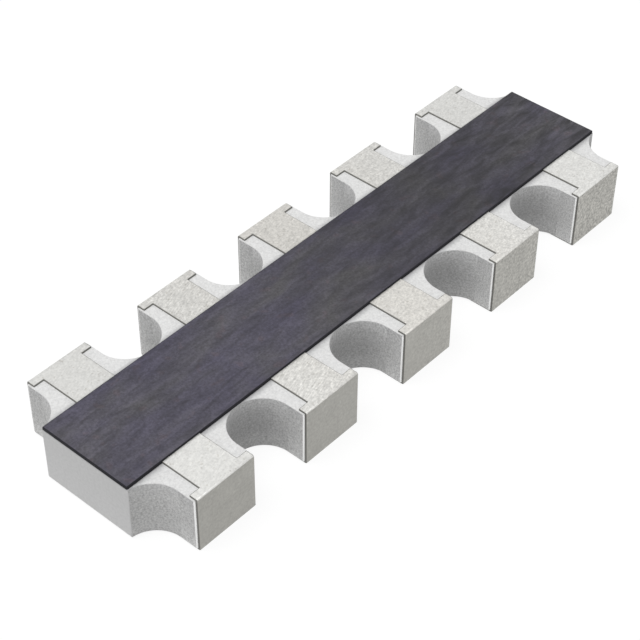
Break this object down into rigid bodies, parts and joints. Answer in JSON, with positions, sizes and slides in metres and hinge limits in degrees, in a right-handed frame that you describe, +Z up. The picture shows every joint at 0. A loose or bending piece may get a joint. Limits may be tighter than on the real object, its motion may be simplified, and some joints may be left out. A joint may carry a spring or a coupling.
{
  "type": "resistor network",
  "caption": "Thick film chip resistor network: a white ceramic chip with notched long sides, plated terminals wrapped round its fingers and a dark coating along its middle.",
  "frame": {"origin": "under the middle of the chip, on the plane of its solder lands", "axes": "+X along the row of terminals, from terminal 1 to terminal 5; +Y towards the side of terminals 6 to 10; +Z up from the board"},
  "size_m": [0.0062, 0.002, 0.0006],
  "materials": {
    "alumina": "fired, matt, white",
    "tin_plating": "matt tin plate over nickel, pale warm grey",
    "silver_print": "fired silver print, matt, hidden",
    "resistor_film": "fired thick film, matt black, hidden",
    "undercoat_glass": "fired glass, dark green, hidden",
    "overcoat": "printed epoxy coating, matt, dark purplish grey"
  },
  "bodies": {
    "root": {"ceramic_substrate": "alumina", "terminal_01": "tin_plating", "terminal_02": "tin_plating", "terminal_03": "tin_plating", "terminal_04": "tin_plating", "terminal_05": "tin_plating", "terminal_06": "tin_plating", "terminal_07": "tin_plating", "terminal_08": "tin_plating", "terminal_09": "tin_plating", "terminal_10": "tin_plating", "common_electrode": "silver_print", "top_electrode_01": "silver_print", "top_electrode_02": "silver_print", "top_electrode_03": "silver_print", "top_electrode_04": "silver_print", "top_electrode_06": "silver_print", "top_electrode_07": "silver_print", "top_electrode_08": "silver_print", "top_electrode_09": "silver_print", "back_electrode_01": "silver_print", "back_electrode_02": "silver_print", "back_electrode_03": "silver_print", "back_electrode_04": "silver_print", "back_electrode_05": "silver_print", "back_electrode_06": "silver_print", "back_electrode_07": "silver_print", "back_electrode_08": "silver_print", "back_electrode_09": "silver_print", "back_electrode_10": "silver_print", "resistor_film_1": "resistor_film", "resistor_film_2": "resistor_film", "resistor_film_3": "resistor_film", "resistor_film_4": "resistor_film", "resistor_film_5": "resistor_film", "resistor_film_6": "resistor_film", "resistor_film_7": "resistor_film", "resistor_film_8": "resistor_film", "glass_undercoat_1": "undercoat_glass", "glass_undercoat_2": "undercoat_glass", "glass_undercoat_3": "undercoat_glass", "glass_undercoat_4": "undercoat_glass", "glass_undercoat_5": "undercoat_glass", "glass_undercoat_6": "undercoat_glass", "glass_undercoat_7": "undercoat_glass", "glass_undercoat_8": "undercoat_glass", "protective_overcoat": "overcoat"}
  },
  "joints": []
}
